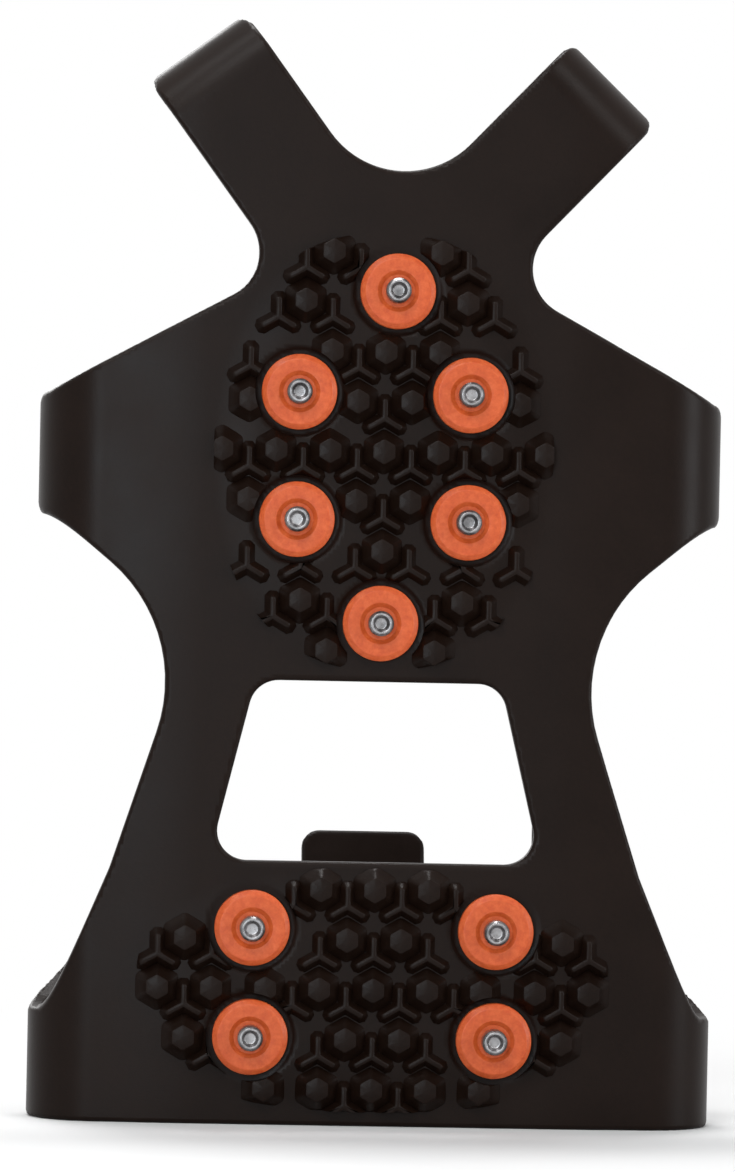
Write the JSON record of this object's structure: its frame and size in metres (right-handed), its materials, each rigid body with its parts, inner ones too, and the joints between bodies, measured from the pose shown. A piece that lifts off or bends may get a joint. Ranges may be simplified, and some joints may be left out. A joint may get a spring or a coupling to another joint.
{
  "type": "ice cleat",
  "caption": "Slip-on rubber ice cleat with steel-tipped studs in coloured discs, a honeycomb tread, an arch window and an elastic harness that stretches over a winter shoe.",
  "frame": {"origin": "middle of the heel's straight edge, at half the thickness of the sole web, where the cleat stands in the picture", "axes": "+Z runs along the sole from heel to toe, -Y points out of the ground side with the studs, +Y to the foot, +X to the right as seen from the ground side. Worn on a shoe, -Y is down."},
  "size_m": [0.128, 0.0653, 0.2058],
  "materials": {
    "rubber": "matt moulded black rubber",
    "disc_plastic": "satin orange plastic",
    "stud_steel": "bright plated steel"
  },
  "bodies": {
    "sole_body": {"sole": "rubber", "forefoot_tread": "rubber", "heel_tread": "rubber", "wing_left": "rubber", "wing_right": "rubber", "toe_hook_left": "rubber", "toe_hook_right": "rubber", "toe_arm_left": "rubber", "toe_arm_right": "rubber", "heel_corner_left": "rubber", "heel_corner_right": "rubber", "heel_arm_left": "rubber", "heel_arm_right": "rubber", "rim_front_left": "rubber", "rim_front_right": "rubber", "rim_rear_left": "rubber", "rim_rear_right": "rubber", "stud_disc_01": "disc_plastic", "stud_disc_02": "disc_plastic", "stud_disc_03": "disc_plastic", "stud_disc_04": "disc_plastic", "stud_disc_05": "disc_plastic", "stud_disc_06": "disc_plastic", "stud_disc_07": "disc_plastic", "stud_disc_08": "disc_plastic", "stud_disc_09": "disc_plastic", "stud_disc_10": "disc_plastic", "stud_pin_01": "stud_steel", "stud_pin_02": "stud_steel", "stud_pin_03": "stud_steel", "stud_pin_04": "stud_steel", "stud_pin_05": "stud_steel", "stud_pin_06": "stud_steel", "stud_pin_07": "stud_steel", "stud_pin_08": "stud_steel", "stud_pin_09": "stud_steel", "stud_pin_10": "stud_steel"},
    "toe_strap": {"toe_band": "rubber"},
    "heel_strap": {"heel_band": "rubber", "heel_pull_tab": "rubber"}
  },
  "joints": [
    {"name": "toe_stretch", "type": "slide", "parent": "sole_body", "child": "toe_strap", "axis": [0, 0, 1], "range_m": [0, 0.02], "stiffness_N_per_m": 400, "deforming": ["toe_arm_left", "toe_arm_right", "rim_front_left", "rim_front_right"]},
    {"name": "heel_stretch", "type": "slide", "parent": "sole_body", "child": "heel_strap", "axis": [0, 0, -1], "range_m": [0, 0.022], "stiffness_N_per_m": 300, "deforming": ["heel_arm_left", "heel_arm_right", "rim_rear_left", "rim_rear_right"]}
  ]
}
